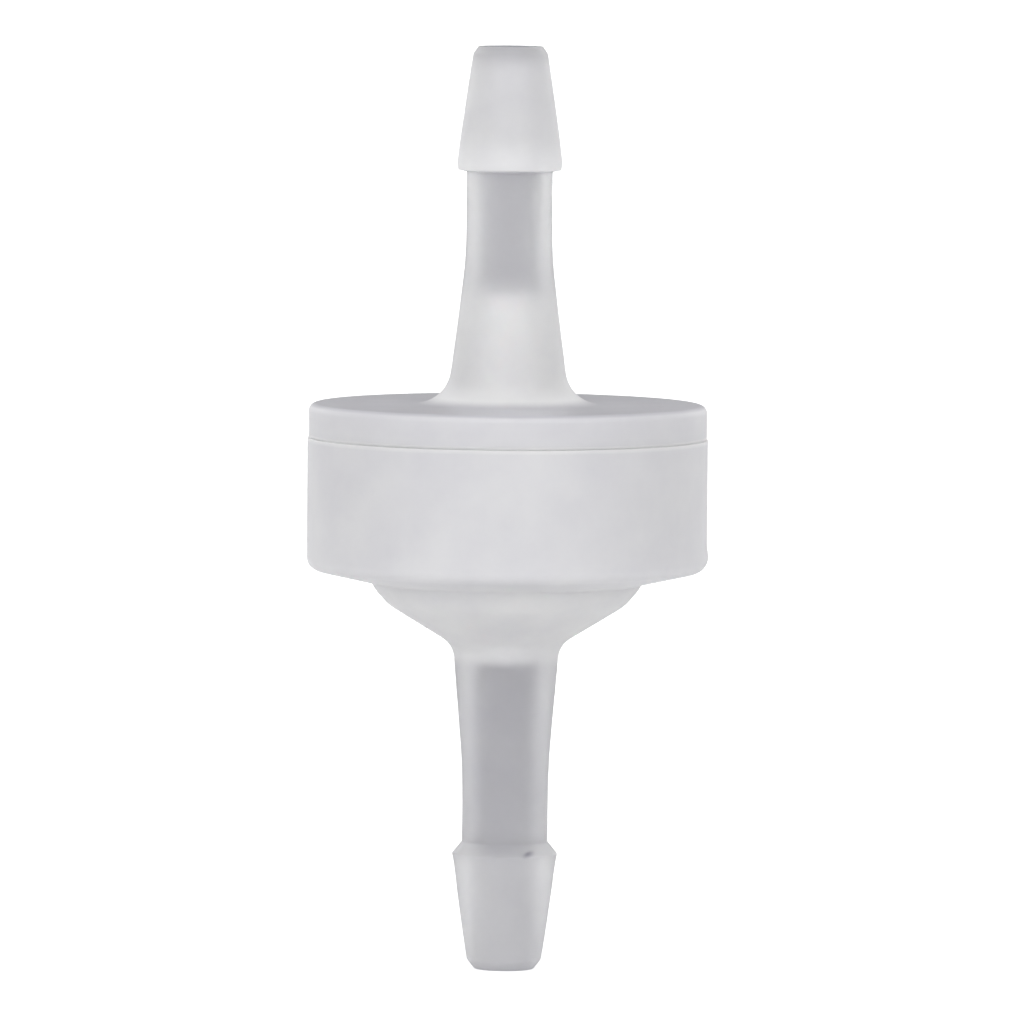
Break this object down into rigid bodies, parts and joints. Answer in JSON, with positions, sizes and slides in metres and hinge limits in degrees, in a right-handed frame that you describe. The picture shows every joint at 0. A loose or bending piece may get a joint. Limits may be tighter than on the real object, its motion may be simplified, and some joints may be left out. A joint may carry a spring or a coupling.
{
  "type": "check valve",
  "caption": "Inline spring-loaded check valve with a disc-shaped translucent plastic body and a hose barb at each end, so fluid passes one way only.",
  "frame": {"origin": "centre of the valve's bounding box, on its axis of revolution, halfway between the two barb tips", "axes": "+Z along the valve's axis, the way the fluid flows, from the inlet barb towards the outlet barb; X and Y along the guide spider's arms"},
  "size_m": [0.0222, 0.0222, 0.051],
  "materials": {
    "translucent_polypropylene": "milky translucent, satin",
    "white_plastic": "satin",
    "seal_rubber": "matt elastomer",
    "spring_steel": "drawn stainless wire"
  },
  "bodies": {
    "valve_body": {"inlet_housing": "translucent_polypropylene", "outlet_housing": "translucent_polypropylene", "body_seal": "seal_rubber", "guide_spider": "white_plastic", "spring": "spring_steel"},
    "poppet_assembly": {"poppet": "white_plastic", "poppet_nose": "white_plastic", "poppet_seal": "seal_rubber"}
  },
  "joints": [
    {"name": "poppet_lift", "type": "slide", "parent": "valve_body", "child": "poppet_assembly", "axis": [0, 0, 1], "range_m": [0, 0.0016], "stiffness_N_per_m": 80, "springref_m": -0.0005, "deforming": ["spring"]}
  ]
}
